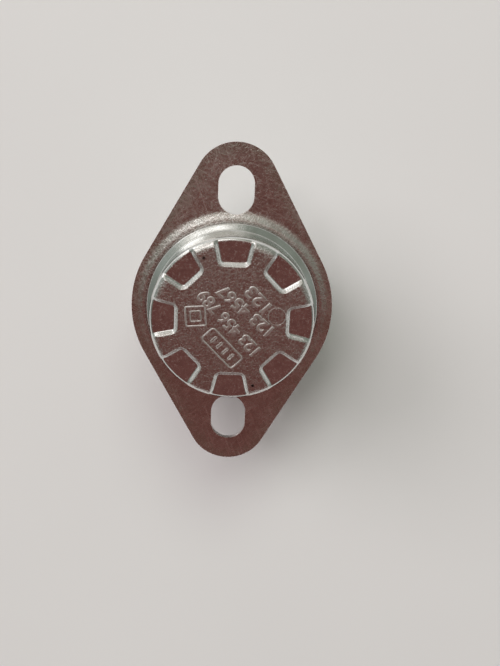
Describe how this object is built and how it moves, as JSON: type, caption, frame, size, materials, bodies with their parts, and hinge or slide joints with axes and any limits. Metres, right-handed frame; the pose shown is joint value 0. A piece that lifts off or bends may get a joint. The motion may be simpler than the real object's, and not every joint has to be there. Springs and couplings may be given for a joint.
{
  "type": "safety thermostat",
  "caption": "Snap-disc safety thermostat with manual reset, aluminium sensing cap, slotted mounting bracket and push-on terminals.",
  "frame": {"origin": "centre of the sensing face, the flat top of the cap", "axes": "+Z out of the sensing face, +Y along the mounting bracket, +X across it"},
  "size_m": [0.0206, 0.0332, 0.0201],
  "materials": {
    "cap_aluminium": "drawn, lightly scuffed",
    "bracket_steel": "plated, bright",
    "bimetal": "rolled",
    "phenolic": "moulded, satin black",
    "pin_ceramic": "unglazed",
    "arm_bronze": "rolled spring strip",
    "strip_brass": "stamped strip",
    "contact_silver": "headed silver",
    "terminal_brass": "tin-plated brass",
    "rivet_brass": "nickel-plated",
    "button_plastic": "moulded, satin"
  },
  "bodies": {
    "housing": {"sensing_cap": "cap_aluminium", "mounting_bracket": "bracket_steel", "bimetal_disc": "bimetal", "disc_guide": "phenolic", "base_housing": "phenolic", "fixed_contact_strip": "strip_brass", "fixed_contact": "contact_silver", "terminal_a": "terminal_brass", "terminal_b": "terminal_brass", "rivet_a": "rivet_brass", "rivet_b": "rivet_brass"},
    "pin": {"transfer_pin": "pin_ceramic"},
    "arm": {"contact_arm": "arm_bronze", "moving_contact": "contact_silver"},
    "button": {"reset_button": "button_plastic"}
  },
  "joints": [
    {"name": "pin_travel", "type": "slide", "parent": "housing", "child": "pin", "axis": [0, 0, -1], "range_m": [0, 0.00042], "deforming": ["bimetal_disc"]},
    {"name": "arm_flex", "type": "hinge", "parent": "housing", "child": "arm", "pos_m": [-0.00565, 0, -0.00646], "axis": [0, 1, 0], "range_deg": [0, 3.98], "stiffness_Nm_per_rad": 0.02, "springref_deg": -11.46},
    {"name": "button_travel", "type": "slide", "parent": "housing", "child": "button", "axis": [0, 0, -1], "range_m": [0, 0.00042]}
  ],
  "couplings": [
    {"joint": "arm_flex", "follows": "pin_travel", "rad_per_m": 165},
    {"joint": "button_travel", "follows": "pin_travel", "ratio": 1}
  ]
}
